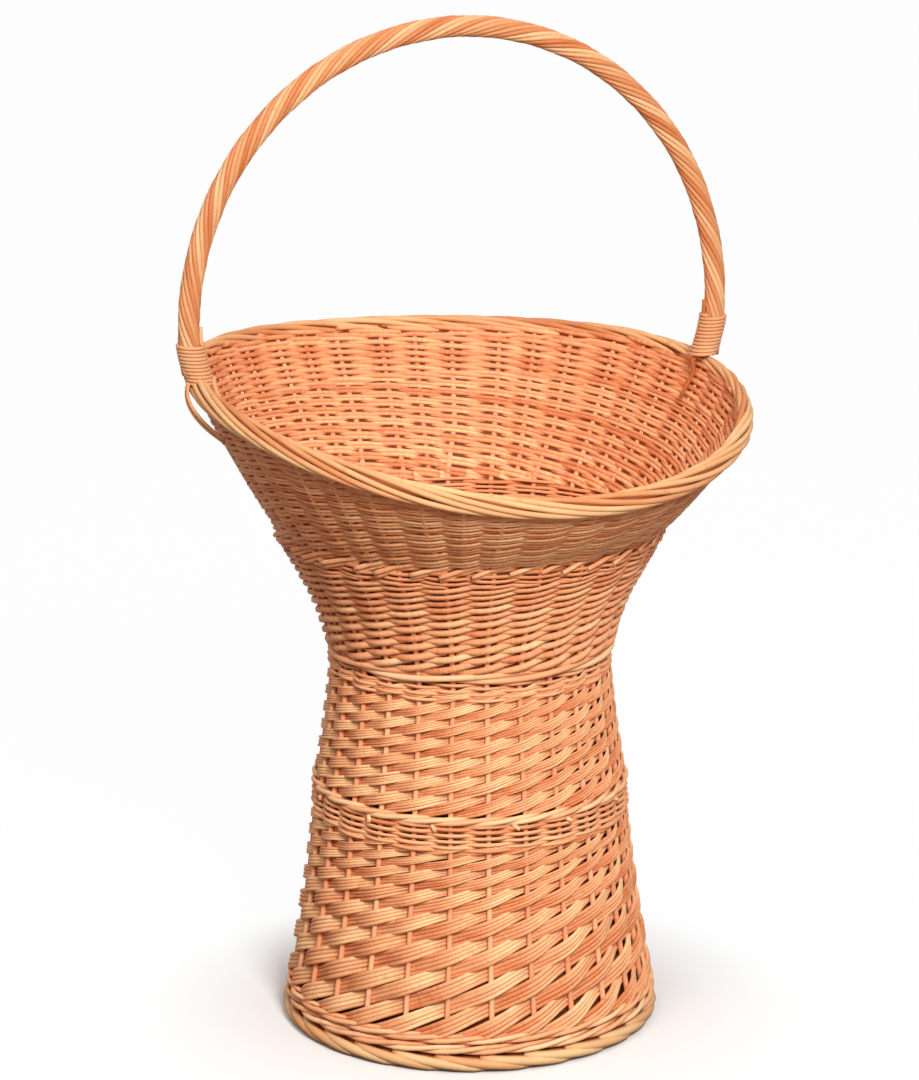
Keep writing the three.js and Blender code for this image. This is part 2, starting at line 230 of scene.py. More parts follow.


# ---- willow
# Dark brown that stands for shade: it is mixed into the willow as painted shade
shade = colour(124, 62, 32)
willowSettings = {
    "drift": (14, 41),  # slow changes of tone: their number along a metre, and the step from rod to rod
    "knots": (70, 83),
    "knotsFrom": (0.62, 0.75),
    "knotStrength": 0.35,
    "grain": 420.0,
    "weights": {"tone": 0.75, "drift": 0.7, "grain": 0.25, "less": 0.22},
    "deepShadeRange": (0.05, 0.7),  # painted shade: from how far down in the weave the deep tone is mixed in, and then the shade colour
    "paintedShade": (0.2, 1.0),
    "bump": {"Strength": 0.25, "Distance": 0.0004},
    "gloss": 0.16,
    # Deep, mid and pale tones and the roughness of each finish
    "finishes": {
        "siding": ((212, 124, 78), (238, 168, 120), (252, 206, 154), 0.55),
        "wale": ((216, 130, 84), (240, 174, 126), (252, 208, 160), 0.55),
        "stake": ((214, 124, 84), (236, 160, 116), (250, 196, 150), 0.55),
        "border": ((200, 118, 70), (222, 164, 114), (236, 200, 148), 0.5),
        "handle": ((192, 106, 58), (212, 146, 98), (228, 184, 137), 0.45),
        "binding": ((198, 120, 76), (216, 154, 110), (228, 184, 138), 0.5),
    },
}


def willow(name, s):
    # Peeled willow: each rod has a tone of its own, which drifts along it, with small darker knots, and
    # painted shade darkens it where it lies deep in the weave, where it hangs over and in dark cores
    *tones, roughness = s["finishes"][name]
    deep, mid, pale = [colour(*tone) for tone in tones]
    paint = Shader(name + "Willow")
    tone = paint.node("Attribute", {"attribute_name": "rodTone"}, {}, "Fac")
    along = paint.node("Attribute", {"attribute_name": "rodAlong"}, {}, "Fac")
    weaveShade = paint.node("Attribute", {"attribute_name": "rodPaintedShade"}, {}, "Fac")

    def noiseAlong(spacing, detail):
        spot = paint.node("CombineXYZ", {}, {0: along * spacing[0], 1: tone * spacing[1], 2: 0.0})
        return paint.node("TexNoise", {}, {"Vector": spot, "Scale": 1.0, "Detail": detail})

    place = paint.node("TexCoord", {}, {}, "Object")
    grain = paint.node("TexNoise", {}, {"Vector": place, "Scale": s["grain"], "Detail": 3.0})
    weights = s["weights"]
    share = tone * weights["tone"] + noiseAlong(s["drift"], 2.0) * weights["drift"] - weights["less"]
    share = (share + (grain - 0.5) * weights["grain"]).clamped()
    body = paint.mixColours(share.over(0.0, 0.5), deep, mid)
    body = paint.mixColours(share.over(0.45, 1.0), body, pale)
    body = paint.mixColours(noiseAlong(s["knots"], 1.0).over(*s["knotsFrom"]) * s["knotStrength"], body, deep)
    # Painted shade: first towards the deep tone, then towards the dark shade colour
    body = paint.mixColours(weaveShade.over(*s["deepShadeRange"]), body, deep)
    body = paint.mixColours(weaveShade.over(*s["paintedShade"]), body, shade)
    paint.join(paint.surface, {
        "Base Color": body,
        "Roughness": roughness,
        "Specular IOR Level": s["gloss"],
        "Normal": paint.node("Bump", {}, {**s["bump"], "Height": grain}),
    })
    return paint.material


finishes = {name: willow(name, willowSettings) for name in willowSettings["finishes"]}
print("willow finishes made")


class Rod:
    # One rod: its centre line and radii in millimetres, and its tone from 0, deep, to 1, pale. Each point
    # has a tint of painted light and shade that is added to the tone, and two vectors of painted shade that
    # are as long as their side is dark: one points to the side that lies deep in the weave, the other to the
    # side that hangs over. A rod can also have a least share of painted shade all over.
    def __init__(self, tone, ring=False, paintedShade=0.0):
        self.points = []
        self.radii = []
        self.weaveShade = []
        self.overhangShade = []
        self.paintedLightTones = []
        self.tone = tone
        self.ring = ring
        self.paintedShade = paintedShade

    def add(self, point, radius, weaveShade=Vector(), overhangShade=Vector(), tint=0):
        self.points.append(point)
        self.radii.append(radius)
        self.weaveShade.append(weaveShade)
        self.overhangShade.append(overhangShade)
        self.paintedLightTones.append(tint)

    def goOn(self, tone):
        # A rod of another tone that starts at this one's end
        rod = Rod(tone)
        rod.add(self.points[-1], self.radii[-1], self.weaveShade[-1], self.overhangShade[-1], self.paintedLightTones[-1])
        return rod


def addRods(name, rods, finish, nodes, sides=6, shadeSleeve=None):
    # Makes rods, and a sleeve of painted shade if there is one, into one mesh of closed tubes that stands for
    # the given nodes
    curve = bpy.data.curves.new(name, "CURVE")
    curve.dimensions = "3D"
    curve.fill_mode = "FULL"
    curve.bevel_depth = 1
    curve.bevel_resolution = sides // 2 - 2  # which gives the curve this number of sides
    for rod in rods:
        spline = curve.splines.new("POLY")
        spline.points.add(len(rod.points) - 1)
        spline.points.foreach_set("co", [c for p in rod.points for c in (p.x * mm, p.y * mm, p.z * mm, 1)])
        spline.points.foreach_set("radius", [r * mm for r in rod.radii])
        spline.use_cyclic_u = rod.ring
    shell = bpy.data.objects.new(name + "Curve", curve)
    scene.collection.objects.link(shell)
    mesh = bpy.data.meshes.new_from_object(shell.evaluated_get(bpy.context.evaluated_depsgraph_get()))
    bpy.data.objects.remove(shell)
    values = {"rodTone": [], "rodAlong": [], "rodPaintedShade": []}
    for rod in rods:
        along = dice.uniform(0, 50)
        for number, point in enumerate(rod.points):
            if number:
                along += (point - rod.points[number - 1]).length * mm
            first = len(values["rodTone"])
            values["rodTone"] += [min(1, max(0, rod.tone + rod.paintedLightTones[number]))] * sides
            values["rodAlong"] += [along] * sides
            for vertex in mesh.vertices[first:first + sides]:
                side = (vertex.co / mm - point) / rod.radii[number]
                # Painted shade on the sides that lie deep in the weave or hang over, and at least the rod's
                # own share
                dark = max(side.dot(rod.weaveShade[number]), side.dot(rod.overhangShade[number]))
                values["rodPaintedShade"].append(max(rod.paintedShade, dark))
    assert len(values["rodTone"]) == len(mesh.vertices), (name, len(mesh.vertices))
    for attribute, listed in values.items():
        mesh.attributes.new(attribute, "FLOAT", "POINT").data.foreach_set("value", listed)
    shape = bmesh.new()
    shape.from_mesh(mesh)
    edges = [edge for edge in shape.edges if edge.is_boundary]
    bmesh.ops.holes_fill(shape, edges=edges, sides=sides)
    if shadeSleeve:
        paintedShade = shape.verts.layers.float["rodPaintedShade"]
        rings = [[shape.verts.new(point * mm) for point in ring] for ring in shadeSleeve]
        for ring, following in zip(rings, rings[1:] + rings[:1]):
            for spot, vertex in enumerate(ring):
                # The sleeve is painted full shade
                vertex[paintedShade] = 1.0
                shape.faces.new((ring[spot - 1], vertex, following[spot], following[spot - 1]))
    bmesh.ops.recalc_face_normals(shape, faces=shape.faces)
    for face in shape.faces:
        face.smooth = len(face.verts) == 4
    shape.to_mesh(mesh)
    shape.free()
    mesh.name = name
    mesh.materials.append(finishes[finish])
    piece = bpy.data.objects.new(name, mesh)
    scene.collection.objects.link(piece)
    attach(piece, "root")
    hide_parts(*nodes)
    mesh.calc_loop_triangles()
    print(name, len(rods), "rods", len(mesh.loop_triangles), "triangles")


# ---- the wall that everything is woven on
wallSettings = {
    "stakes": 26,
    # Heights and outer radii of the round part, from the ground to the line of rod ends
    "round": [(0, 187.5), (18, 185.3), (38, 182.7), (136, 167.5), (234, 157.3), (249, 155.5), (312, 146.3),
              (376, 140.4), (387, 143.5), (408, 149.4), (430, 157), (460, 172.5), (490, 189.5), (503, 192)],
    "topOfRound": 503,
    "topRadius": 192,
    "rimHalfWidth": 266.5,
    "rimHalfDepth": 264,
    "rimHeight": 628,
    "rimTilt": 36,  # how far the back is above the middle, and the front below it
    "rimLean": 9,
    "rimSideLift": 13.5,
    "underRim": 10,  # where the wall ends: this far under the rim's middle line and this far outside it
    "outsideRim": 3,
    "belly": 3,
}
stakeStep = 2 * math.pi / wallSettings["stakes"]


def polar(radius, angle, height):
    return Vector((radius * math.cos(angle), radius * math.sin(angle), height))


def roundRadius(height, s=wallSettings):
    # Smooth curve through the listed radii
    table = s["round"]
    last = len(table) - 1
    k = max(0, min(last - 1, sum(1 for row in table if row[0] <= height) - 1))

    def slope(i):
        low, high = max(0, i - 1), min(last, i + 1)
        return (table[high][1] - table[low][1]) / (table[high][0] - table[low][0])

    (z0, r0), (z1, r1) = table[k], table[k + 1]
    run = z1 - z0
    t = (height - z0) / run
    if t > 1 or t < 0:
        return r0 + (r1 - r0) * t
    return ((2 * t**3 - 3 * t**2 + 1) * r0 + (t**3 - 2 * t**2 + t) * run * slope(k)
            + (3 * t**2 - 2 * t**3) * r1 + (t**3 - t**2) * run * slope(k + 1))


def rimLevel(angle, s=wallSettings):
    return (s["rimHeight"] + s["rimTilt"] * math.sin(angle) - s["rimLean"] * math.cos(angle)
            + s["rimSideLift"] * math.cos(2 * angle))


def rimRadius(angle, s=wallSettings):
    return 1 / math.hypot(math.cos(angle) / s["rimHalfWidth"], math.sin(angle) / s["rimHalfDepth"])


def roundWall(angle, level):
    # Outer radius and height of the round part, where level is the height itself
    return roundRadius(level), level


def upperRise(angle, s=wallSettings):
    up = rimLevel(angle) - s["underRim"] - s["topOfRound"]
    return up, rimRadius(angle) + s["outsideRim"] - s["topRadius"]


def upperLength(angle):
    return math.hypot(*upperRise(angle))


def upperWall(angle, level, s=wallSettings):
    # The tilted part above the line of rod ends, where level is the way up along the wall
    up, out = upperRise(angle)
    length = math.hypot(up, out)
    beyond = max(0, level - length)  # from the rim on it goes straight up
    share = min(level, length) / length
    belly = 4 * s["belly"] * share * (1 - share)
    return s["topRadius"] + out * share + belly, s["topOfRound"] + up * share + beyond


def wallPlace(wall, angle, level):
    # Point on the wall's outer face and the unit vector that is square to it and points outwards
    radius, height = wall(angle, level)
    nextRadius, nextHeight = wall(angle, level + 1)
    return polar(radius, angle, height), polar(nextHeight - height, angle, radius - nextRadius).normalized()


def onWall(wall, angle, level, inward):
    # Point at a depth under the wall's outer face, measured square to it
    point, outward = wallPlace(wall, angle, level)
    return point - outward * inward


def addWoven(rod, wall, angle, level, middle, offset, radius, reach, recessShade, overhangShade=0, tint=0):
    # Adds a point of a rod that lies at an offset, outwards, from the middle of the weave
    point, outward = wallPlace(wall, angle, level)
    # Painted shade on the side that lies deep behind a stake and on the outer side where it hangs over; the
    # tint is painted light and shade
    recessShadeHere = recessShade * min(1, max(-1, offset / reach))
    rod.add(point + outward * (offset - middle), radius, outward * -recessShadeHere, outward * overhangShade, tint)


def shadeSleeveIn(wall, low, high, depth, spots=78, rows=10, thickness=0.8):
    # Rings of a thin sleeve inside the weave that closes it, up to a height given for each angle; it is
    # painted full shade and stands for the shade deep in the weave
    rings = []
    for row in range(2 * rows + 2):
        share = min(row, 2 * rows + 1 - row) / rows
        inward = depth + (thickness / 2 if row > rows else -thickness / 2)
        angles = [2 * math.pi * spot / spots for spot in range(spots)]
        rings.append([onWall(wall, angle, low + (high(angle) - low) * share, inward) for angle in angles])
    return rings


# ---- stakes: two in three columns of the upper bowl are main stakes, the third is a bye-stake
stakeSettings = {
    "radius": 2.75,
    "depth": 5.75,  # of their middle lines, under the wall's outer face
    "upperRise": 1.2,  # by how much they lie less deep in the upper bowl, and by how much they are thicker
    "upperSwell": 0.35,
    "beyond": 6,  # how far they run on into the rim
    "steps": 12,
    "byeRadius": 3.0,
    "byeDepth": 4.6,
    "pairDrift": 2.85,  # degrees by which every second main stake gives way to its bye-stake
    "byeTurn": 19.6,  # degrees from an even main stake to the bye-stake
}


def mainAngle(number, rise=0.0):
    drift = math.radians(stakeSettings["pairDrift"]) * rise if number % 2 else 0
    return (number + 0.5) * stakeStep - drift


def upperColumns():
    angles = []
    for number in range(wallSettings["stakes"]):
        angles.append(mainAngle(number, 1))
        if number % 2:
            angles.append(mainAngle(number - 1) + math.radians(stakeSettings["byeTurn"]))
    return angles


class Columns:
    # Angles of the stakes, read at any share between one stake and the next
    def __init__(self, angles):
        self.angles = angles
        self.count = len(angles)

    def at(self, place):
        base = math.floor(place)
        share = place - base
        return self.one(base) * (1 - share) + self.one(base + 1) * share

    def one(self, number):
        return self.angles[number % self.count] + 2 * math.pi * (number // self.count)


lowColumns = Columns([mainAngle(number) for number in range(wallSettings["stakes"])])
highColumns = Columns(upperColumns())


# ---- randing: every stake starts a bundle of rods, which climbs in front of one stake and behind the next
def randing(s, columns, wall, limit=None):
    rods = []
    start, slope, slowing = s["climb"]
    for column in range(columns.count):
        bundleTone = dice.uniform(0.1, 0.9)
        levelJitter = dice.uniform(-1, 1) * s["levelJitter"]
        first = s["first"] - dice.uniform(-0.6, 1) * s["ragged"]
        for number in range(s["perBundle"]):
            tone = min(1, max(0, bundleTone * 0.55 + dice.uniform(0, 0.45)))
            depthJitter = dice.uniform(-0.25, 0.25)
            plump = dice.uniform(0.92, 1.08)
            rod = Rod(dice.uniform(0.5, 1) if s["buttsOut"] else tone)
            pale = bool(s["buttsOut"])  # the butt, painted paler as light where it stands out into the light, which the rest of the rod follows
            spots = round((s["last"] - first) * s["steps"])
            for spot in range(spots + 1):
                place = first + (s["last"] - first) * spot / spots
                angle = columns.at(column + place)
                stride = slope - 2 * slowing * max(0, place)
                wave = math.cos(math.pi * place)
                thick = min(s["thickest"], s["girth"] * stride / s["perBundle"]) * plump
                spread = thick * s["perBundle"] * (s["nesting"] + 0.06 * abs(wave))
                # A rod climbs faster in front of a stake than behind one
                level = start + slope * (place + s["lilt"] * math.sin(math.pi * place))
                level -= slowing * max(0, place)**2
                level += spread * ((number + 0.5) / s["perBundle"] - 0.5)
                level += levelJitter + s["buttDrop"] * min(0, place)
                if pale and place > 0.8:
                    rods.append(rod)
                    rod, pale = rod.goOn(tone), False
                if limit and level > limit(angle):
                    if len(rod.points) > 2:
                        rods.append(rod)
                    rod, pale = Rod(tone), False
                    continue
                radius = thick / 2
                reach = s["swing"] * (s["stakeRadius"] + radius)
                offset = reach * wave
                if place < 0 and s["buttsOut"]:
                    offset = reach - s["buttsOut"] * place
                # Painted shade on the outer side where it hangs over, growing with height; none on the pale
                # butt
                overhangShade = 0 if pale else s["overhangShade"] * min(1, max(0, (level - s["overhangShadeFrom"]) / 60))
                # Painted light and shade: paler where it dives behind the next stake, deeper where it comes
                # out, and deeper at the left and right sides
                tint = s["paintedSlopeLight"] * math.sin(math.pi * place) - s["sides"] * math.cos(angle)**2
                middle = s["depth"] + depthJitter
                addWoven(rod, wall, angle, level, middle, offset, radius, reach, s["recessShade"], overhangShade, tint)
            if len(rod.points) > 2:
                rods.append(rod)
    return rods


# Places along a rod count the stakes from where it first lies in front of one; lengths are millimetres
lowerPedestal = {
    "climb": (44.5, 18.94, 0.472),  # its first level, its rise from stake to stake and how that slows down
    "first": -1, "last": 15,  # the places where it starts and ends
    "perBundle": 4, "girth": 1.2, "thickest": 4.75, "nesting": 0.9,
    "swing": 0.9, "stakeRadius": 2.75, "depth": 5.6, "lilt": 0.03,
    "buttsOut": 0, "buttDrop": 0,  # how far the rods' butts stand out and hang down
    # Painted shade in the recesses and on the overhanging outer side; painted light and shade along each rod,
    # and painted shade at the left and right sides
    "recessShade": 0.3, "paintedSlopeLight": 0.34, "sides": 0, "overhangShade": 0, "overhangShadeFrom": 0,
    "levelJitter": 0, "ragged": 0, "steps": 5,
}
upperPedestal = {**lowerPedestal, "climb": (258.9, 9.8, 0.075), "last": 13, "depth": 5.2, "recessShade": 0.32}
lowerBowl = {
    "climb": (393, 5.4, 0.055), "first": -1, "last": 22,
    "perBundle": 1, "girth": 1.42, "thickest": 7.2, "nesting": 1,
    "swing": 0.56, "stakeRadius": 2.4, "depth": 5.6, "lilt": 0.14, "buttsOut": 0, "buttDrop": 3,
    "recessShade": 0.4, "paintedSlopeLight": 0.15, "sides": 0.1, "overhangShade": 0.35, "overhangShadeFrom": 410,
    "levelJitter": 0.5, "ragged": 0.2, "steps": 5,
}
upperBowl = {
    "climb": (-3, 6.2, 0.045), "first": -0.65, "last": 22,
    "perBundle": 2, "girth": 1.66, "thickest": 5.2, "nesting": 0.86,
    "swing": 0.46, "stakeRadius": 2.2, "depth": 5.2, "lilt": 0.03, "buttsOut": 8, "buttDrop": 0,
    "recessShade": 0.8, "paintedSlopeLight": 0.1, "sides": 0.32, "overhangShade": 0.15, "overhangShadeFrom": -70,
    "levelJitter": 0.5, "ragged": 0.35, "steps": 5,
}
topWedge = {
    **upperBowl, "base": 107, "climb": (-1, 3.75, 0), "first": -0.4, "last": 21,
    "perBundle": 1, "girth": 1.45, "thickest": 5.4, "nesting": 1,
    "swing": 0.5, "depth": 5.4, "lilt": 0, "buttsOut": 0,
    "recessShade": 0.6, "levelJitter": 0.4, "ragged": 0.2,
}
topReach = 12  # how far the siding climbs up behind the rim's inner side
pedestalShadeSleeve = 13.5  # how deep the sleeve of painted shade lies in the pedestal


def sidingTop(angle):
    return upperLength(angle) + topReach


addRods("pedestalSidingLower", randing(lowerPedestal, lowColumns, roundWall), "siding",
        ["pedestal_siding_lower"], shadeSleeve=shadeSleeveIn(roundWall, 36, lambda angle: 240, pedestalShadeSleeve))
addRods("pedestalSidingUpper", randing(upperPedestal, lowColumns, roundWall), "siding",
        ["pedestal_siding_upper"], shadeSleeve=shadeSleeveIn(roundWall, 240, lambda angle: 384, pedestalShadeSleeve))
addRods("bowlSidingLower", randing(lowerBowl, lowColumns, roundWall), "siding",
        ["bowl_siding_lower"], shadeSleeve=shadeSleeveIn(roundWall, 390, lambda angle: 503, lowerBowl["depth"]))
upperRods = randing(upperBowl, highColumns, upperWall, sidingTop)
# The wedge of thinner rods above: high at the back and sides and gone at the front
upperRods += randing(topWedge, highColumns, lambda angle, level: upperWall(angle, topWedge["base"] + level),
                     lambda angle: sidingTop(angle) - topWedge["base"])
addRods("bowlSidingUpper", upperRods, "siding", ["bowl_siding_upper"],
        shadeSleeve=shadeSleeveIn(upperWall, 0, lambda angle: sidingTop(angle) - 2, upperBowl["depth"]))
print("siding woven")


# ---- single rows: plain rods, in front of one stake and behind the next
def plainRows(levels, columns, wall, radius, stakeRadius, depth, overhangShade, palest, steps=4):
    rods = []
    for row, level in enumerate(levels):
        rod = Rod(dice.uniform(0, palest), ring=True)
        thick = radius * dice.uniform(0.88, 1.1)
        for spot in range(columns.count * steps):
            place = spot / steps
            reach = stakeRadius + thick
            offset = reach * math.cos(math.pi * (place + row))
            height = level + dice.uniform(-0.15, 0.15)
            # Painted shade on the side behind a stake, and on the outer side where it hangs over
            addWoven(rod, wall, columns.at(place), height, depth, offset, thick, reach, 0.6, overhangShade)
        rods.append(rod)
    return rods


# ---- wales: rods twisted round each other as they pass the stakes
waleSettings = {
    "rods": 3, "lay": 26 / 9,  # stakes for one whole turn of a rod
    "steps": 5, "swing": 4.4, "sway": 2.6, "radius": 2.5, "depth": 4.2,
}
midWale = {**waleSettings, "sway": 2.2}
neckWale = {**waleSettings, "rods": 2, "lay": 26 / 4, "radius": 3.1, "sway": 2.5, "swing": 2.6, "depth": 3.4}
baseWale = {**midWale, "radius": 2.0, "depth": 8.5, "swing": 2.0}
knobSettings = {
    "count": 13, "level": 240.5, "drop": 1.5, "depth": 4, "out": 1.7, "turn": 0.012, "radius": 2.1,
}
# Their outer sides get painted shade where they hang over
fineRows = {"radius": 1.8, "stakeRadius": 2.2, "depth": 5.2, "overhangShade": 0.15, "palest": 0.6}
endRows = {"radius": 1.8, "stakeRadius": 2.0, "depth": 6.2, "overhangShade": 0.5, "palest": 0.3}


def waleRows(levels, s, columns, wall):
    rods = []
    for row, level in enumerate(levels):
        for number in range(s["rods"]):
            rod = Rod(dice.uniform(0.3, 1.0))
            for spot in range(columns.count * s["steps"] + 1):
                place = spot / s["steps"]
                turn = 2 * math.pi * (place / s["lay"] + number / s["rods"] + row * 0.37)
                high = level + s["sway"] * math.sin(turn)
                offset = s["swing"] * math.cos(turn)
                # Painted shade on the side behind a stake
                addWoven(rod, wall, columns.at(place), high, s["depth"], offset, s["radius"], s["swing"], 0.7)
            rods.append(rod)
    return rods


def waleKnobs(s):
    # Cut ends that show under the rope
    rods = []
    for number in range(s["count"]):
        rod = Rod(dice.uniform(0.7, 1))
        start = (number + dice.uniform(0.3, 0.6)) * 2 * math.pi / s["count"]
        for step in range(4):
            level, depth = s["level"] - s["drop"] * step, s["depth"] - s["out"] * step
            rod.add(onWall(roundWall, start + s["turn"] * step, level, depth), s["radius"])
        rods.append(rod)
    return rods


addRods("footWale", waleRows([22.5, 32.5], waleSettings, lowColumns, roundWall), "wale",
        ["foot_wale"], sides=8)
midRows = plainRows([*range(216, 238, 3), 239.5], lowColumns, roundWall, **fineRows)
midRope = waleRows([244.5], midWale, lowColumns, roundWall)
addRods("pedestalMidWale", midRope + waleKnobs(knobSettings) + midRows, "wale",
        ["pedestal_mid_wale"], sides=8)
neckRows = plainRows(range(361, 377, 3), lowColumns, roundWall, **fineRows)
addRods("neckWale", waleRows([382], neckWale, lowColumns, roundWall) + neckRows, "wale",
        ["neck_wale"], sides=8)
addRods("bowlBaseWale", waleRows([389.5], baseWale, lowColumns, roundWall), "wale",
        ["bowl_base_wale"], sides=8)
addRods("bowlEndBand", plainRows(range(484, 503, 3), lowColumns, roundWall, **endRows), "wale",
        ["bowl_end_band"])
print("wales woven")


# ---- upright stakes
def addStakes(s):
    for number in range(wallSettings["stakes"]):
        rod = Rod(dice.uniform(0.3, 0.9))
        sway = dice.uniform(0, 6)
        for height in range(17, 504, 9):
            angle = mainAngle(number) + 0.0025 * math.sin(height / 37 + sway)
            rod.add(onWall(roundWall, angle, height, s["depth"]), s["radius"])
        for step in range(1, s["steps"] + 1):
            share = step / s["steps"]
            angle = mainAngle(number, min(1, share * 3))
            length = (upperLength(angle) + s["beyond"]) * share
            eased = min(1, share * 4)
            rod.add(onWall(upperWall, angle, length, s["depth"] - s["upperRise"] * eased),
                    s["radius"] + s["upperSwell"] * eased)
        name = f"stake_{number + 1:02d}"
        addRods("willow" + name.capitalize(), [rod], "stake", [name], sides=8)


addStakes(stakeSettings)


def byeStakes(s):
    rods = []
    for number in range(1, wallSettings["stakes"], 2):
        rod = Rod(dice.uniform(0.2, 0.8))
        angle = mainAngle(number - 1) + math.radians(s["byeTurn"])
        for step in range(s["steps"] + 1):
            length = (upperLength(angle) + s["beyond"]) * step / s["steps"]
            rod.add(onWall(upperWall, angle, length, s["byeDepth"]), s["byeRadius"])
        rods.append(rod)
    return rods


addRods("byeStakes", byeStakes(stakeSettings), "stake", [], sides=8)
print("stakes set")


# ---- rolled foot border: thick rods that lean over one another
footSettings = {
    "rods": 26, "radius": 4.7, "middle": 181.5,
    "start": 0.25, "slant": 2.35,  # where a rod starts and how far it goes, in stakes
    "top": 13.2, "fall": 8.4, "landed": 0.78,  # its first level and how far it falls, up to that share of it
    "bulge": 2.8,
    "tuckedIn": (0.15, 25, 0.8, 21),  # the shares where its ends turn in, and how steeply each does
    "core": {"inward": 7.0, "level": 8.6, "radius": 5.2},
    "steps": 14, "coreSteps": 104,
}


def footBorder(s):
    rods = []
    startShare, startTuck, endShare, endTuck = s["tuckedIn"]
    for number in range(s["rods"]):
        rod = Rod(dice.uniform(0.35, 0.95))
        for spot in range(s["steps"] + 1):
            share = spot / s["steps"]
            angle = (number + s["start"] + share * s["slant"]) * stakeStep
            out = s["bulge"] * math.sin(math.pi * min(1, share * 1.05))
            out -= endTuck * max(0, share - endShare) + startTuck * max(0, startShare - share)
            high = max(s["top"] - s["fall"] * min(1, share / s["landed"]), s["radius"] + 0.02)
            radius = s["radius"] * (0.86 + 0.14 * math.sin(math.pi * share))
            rod.add(polar(s["middle"] + out, angle, high), radius)
        rods.append(rod)
    # The core is painted dark, as shade in the gaps between the rods
    core = Rod(0.0, ring=True, paintedShade=0.5)
    for spot in range(s["coreSteps"]):
        angle = 2 * math.pi * spot / s["coreSteps"]
        core.add(polar(s["middle"] - s["core"]["inward"], angle, s["core"]["level"]), s["core"]["radius"])
    return rods + [core]


addRods("footBorder", footBorder(footSettings), "border", ["foot_border"], sides=10)


# ---- rolled rim border: long strands that cross it from the inner edge to the outer one
rimSettings = {
    "strands": 7, "turns": 5, "radius": 2.75,
    "out": 5.1, "up": 7.0, "shift": 2.4, "tilt": 3.0,  # the oval that the strands are laid on
    "seam": 3.03, "steps": 240,  # the strands start and end at this angle
    "wander": 0.14, "swell": 0.06,
    "coreUp": 0.8, "coreRadius": 4.6,
}


def rimBorder(s):
    rods = []
    for number in range(s["strands"]):
        rod = Rod(dice.uniform(0.0, 0.72))
        wobble = dice.uniform(0, 6)
        for spot in range(s["steps"] + 1):
            angle = s["seam"] + 2 * math.pi * spot / s["steps"]
            turn = 2 * math.pi * number / s["strands"] - s["turns"] * angle
            turn += s["wander"] * math.sin(5 * angle + wobble)
            swell = 1 + s["swell"] * math.sin(7 * angle + wobble)
            out, up = math.cos(turn), math.sin(turn)
            rod.add(polar(rimRadius(angle) + s["shift"] + s["out"] * swell * out, angle,
                          rimLevel(angle) + s["up"] * swell * up - s["tilt"] * out), s["radius"])
        rods.append(rod)
    # The core is painted dark, as shade in the gaps between the strands
    core = Rod(0.0, ring=True, paintedShade=0.8)
    for spot in range(s["steps"]):
        angle = 2 * math.pi * spot / s["steps"]
        core.add(polar(rimRadius(angle) + s["shift"], angle, rimLevel(angle) + s["coreUp"]), s["coreRadius"])
    return rods + [core]


addRods("rimBorder", rimBorder(rimSettings), "border", ["rim_border"], sides=8)
print("borders rolled")


# ---- handle: thin rods laid round a core
handleSettings = {
    "halfSpan": 274, "springLevel": 705, "rise": 280, "setBack": 30, "coreRadius": 6.6,
    "strands": 12, "strandRadius": 2.3, "layRadius": 8.15, "turns": 6.6, "steps": 200,
    "borderHalf": 10.3,  # half the rim border's height
    "halfWidth": 10.3,  # the handle ends this far, along the rim's slope, above the border's top
}
handleSlope = wallSettings["rimTilt"] / wallSettings["rimHalfWidth"]


def footOf(side, s=handleSettings):
    setBackAngle = math.asin(s["setBack"] / wallSettings["rimHalfWidth"])
    angle = setBackAngle if side > 0 else math.pi - setBackAngle
    borderTop = rimLevel(angle) + s["borderHalf"]
    level = borderTop + s["halfWidth"] * handleSlope
    return {"side": side, "angle": angle, "level": level, "borderTop": borderTop}


leftFoot, rightFoot = footOf(-1), footOf(1)


def archPoint(share, s=handleSettings):
    # Point and direction at a share of the way from the left foot to the right one
    start = math.asin((leftFoot["level"] - s["springLevel"]) / s["rise"])
    end = math.pi - math.asin((rightFoot["level"] - s["springLevel"]) / s["rise"])
    turn = start + (end - start) * share
    across, up = s["halfSpan"] * math.cos(turn), s["rise"] * math.sin(turn)
    tangent = Vector((s["halfSpan"] * math.sin(turn), 0, s["rise"] * math.cos(turn))).normalized()
    return Vector((-across, s["setBack"], s["springLevel"] + up)), tangent


def handleRods(s, numbers):
    rods = []
    depth = Vector((0, 1, 0))
    for number in numbers:
        rod = Rod(dice.uniform(0.1, 1.0))
        lay = s["layRadius"] + dice.uniform(-0.25, 0.35)
        for spot in range(s["steps"] + 1):
            share = spot / s["steps"]
            centre, tangent = archPoint(share)
            inward = depth.cross(tangent).normalized()
            turn = 2 * math.pi * (number / s["strands"] - s["turns"] * share)
            spoke = inward * math.cos(turn) + depth * math.sin(turn)
            rod.add(centre + spoke * lay, s["strandRadius"])
        rods.append(rod)
    return rods


def handleCore(s):
    # The core is painted dark, as shade in the lines between the strands
    rod = Rod(0.2, paintedShade=0.7)
    for spot in range(81):
        rod.add(archPoint(spot / 80)[0], s["coreRadius"])
    return [rod]


addRods("handleCore", handleCore(handleSettings), "handle", ["handle_core"], sides=12)
for group in range(4):
    strands = handleRods(handleSettings, range(group * 3, group * 3 + 3))
    addRods(f"handleStrand_{group + 1}", strands, "handle", [f"handle_strand_{group + 1}"], sides=10)


